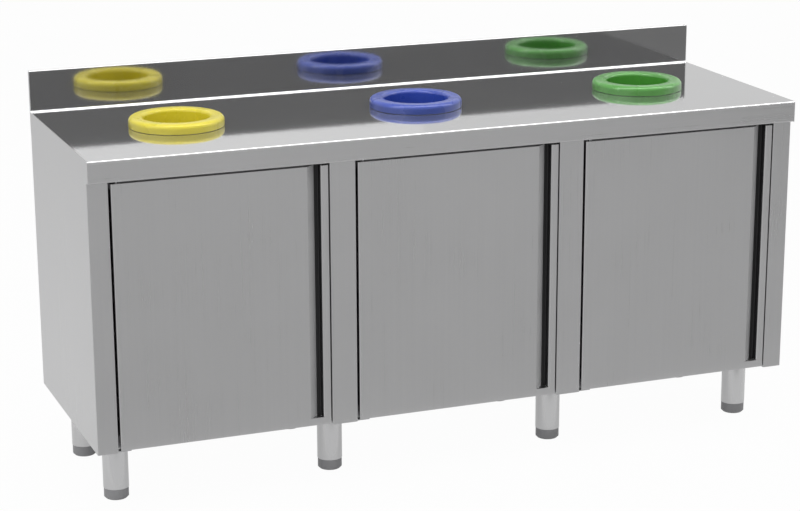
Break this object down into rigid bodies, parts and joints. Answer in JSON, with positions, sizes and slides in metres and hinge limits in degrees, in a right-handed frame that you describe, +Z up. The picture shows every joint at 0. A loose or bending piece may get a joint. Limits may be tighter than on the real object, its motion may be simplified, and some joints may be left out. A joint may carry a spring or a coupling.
{
  "type": "recycling bin cabinet",
  "caption": "Stainless steel waste-sorting counter: upstand, coloured round throats in the worktop, pivoting doors with finger channels, a bin behind each door, and levelling legs.",
  "frame": {"origin": "on the floor, under the middle of the whole object's box", "axes": "+X along the counter to the right seen from the front, +Y to the back, +Z up"},
  "size_m": [1.8, 0.585, 0.952],
  "materials": {
    "worktop_steel": "polished, mirror-like",
    "body_steel": "fine satin grain",
    "door_steel": "fine satin grain",
    "inner_steel": "mill finish",
    "leg_steel": "polished tube",
    "yellow_collar": "moulded, glossy",
    "blue_collar": "moulded, glossy",
    "green_collar": "moulded, glossy",
    "bin_plastic": "moulded, matte",
    "foot_plastic": "moulded, matte",
    "catch_plastic": "moulded, matte",
    "underlay_board": "raw particle board"
  },
  "bodies": {
    "cabinet": {"worktop": "worktop_steel", "left_worktop_end": "body_steel", "right_worktop_end": "body_steel", "worktop_underlay": "underlay_board", "left_throat_collar": "yellow_collar", "middle_throat_collar": "blue_collar", "right_throat_collar": "green_collar", "left_side_panel": "body_steel", "right_side_panel": "body_steel", "back_panel": "body_steel", "left_corner_post": "body_steel", "left_middle_post": "body_steel", "right_middle_post": "body_steel", "right_corner_post": "body_steel", "front_rail": "inner_steel", "rear_rail": "inner_steel", "base_panel": "inner_steel", "left_partition": "inner_steel", "right_partition": "inner_steel", "front_leg_rail": "inner_steel", "rear_leg_rail": "inner_steel", "left_door_lower_pivot": "inner_steel", "left_door_upper_pivot": "inner_steel", "left_door_catch": "catch_plastic", "left_bin": "bin_plastic", "middle_door_lower_pivot": "inner_steel", "middle_door_upper_pivot": "inner_steel", "middle_door_catch": "catch_plastic", "middle_bin": "bin_plastic", "right_door_lower_pivot": "inner_steel", "right_door_upper_pivot": "inner_steel", "right_door_catch": "catch_plastic", "right_bin": "bin_plastic", "front_leg_1": "leg_steel", "front_leg_2": "leg_steel", "front_leg_3": "leg_steel", "front_leg_4": "leg_steel", "rear_leg_1": "leg_steel", "rear_leg_2": "leg_steel", "rear_leg_3": "leg_steel", "rear_leg_4": "leg_steel"},
    "left_door": {"left_door_skin": "door_steel", "left_door_liner": "inner_steel"},
    "middle_door": {"middle_door_skin": "door_steel", "middle_door_liner": "inner_steel"},
    "right_door": {"right_door_skin": "door_steel", "right_door_liner": "inner_steel"},
    "front_foot_1_body": {"front_foot_1": "foot_plastic"},
    "front_foot_2_body": {"front_foot_2": "foot_plastic"},
    "front_foot_3_body": {"front_foot_3": "foot_plastic"},
    "front_foot_4_body": {"front_foot_4": "foot_plastic"},
    "rear_foot_1_body": {"rear_foot_1": "foot_plastic"},
    "rear_foot_2_body": {"rear_foot_2": "foot_plastic"},
    "rear_foot_3_body": {"rear_foot_3": "foot_plastic"},
    "rear_foot_4_body": {"rear_foot_4": "foot_plastic"}
  },
  "joints": [
    {"name": "left_door_hinge", "type": "hinge", "parent": "cabinet", "child": "left_door", "pos_m": [-0.8293, -0.2645, 0.1565], "axis": [0, 0, -1], "range_deg": [0, 110]},
    {"name": "middle_door_hinge", "type": "hinge", "parent": "cabinet", "child": "middle_door", "pos_m": [-0.2408, -0.2645, 0.1565], "axis": [0, 0, -1], "range_deg": [0, 110]},
    {"name": "right_door_hinge", "type": "hinge", "parent": "cabinet", "child": "right_door", "pos_m": [0.3477, -0.2645, 0.1565], "axis": [0, 0, -1], "range_deg": [0, 110]},
    {"name": "front_foot_1_screw", "type": "slide", "parent": "cabinet", "child": "front_foot_1_body", "axis": [0, 0, -1], "range_m": [0, 0.02]},
    {"name": "front_foot_2_screw", "type": "slide", "parent": "cabinet", "child": "front_foot_2_body", "axis": [0, 0, -1], "range_m": [0, 0.02]},
    {"name": "front_foot_3_screw", "type": "slide", "parent": "cabinet", "child": "front_foot_3_body", "axis": [0, 0, -1], "range_m": [0, 0.02]},
    {"name": "front_foot_4_screw", "type": "slide", "parent": "cabinet", "child": "front_foot_4_body", "axis": [0, 0, -1], "range_m": [0, 0.02]},
    {"name": "rear_foot_1_screw", "type": "slide", "parent": "cabinet", "child": "rear_foot_1_body", "axis": [0, 0, -1], "range_m": [0, 0.02]},
    {"name": "rear_foot_2_screw", "type": "slide", "parent": "cabinet", "child": "rear_foot_2_body", "axis": [0, 0, -1], "range_m": [0, 0.02]},
    {"name": "rear_foot_3_screw", "type": "slide", "parent": "cabinet", "child": "rear_foot_3_body", "axis": [0, 0, -1], "range_m": [0, 0.02]},
    {"name": "rear_foot_4_screw", "type": "slide", "parent": "cabinet", "child": "rear_foot_4_body", "axis": [0, 0, -1], "range_m": [0, 0.02]}
  ]
}
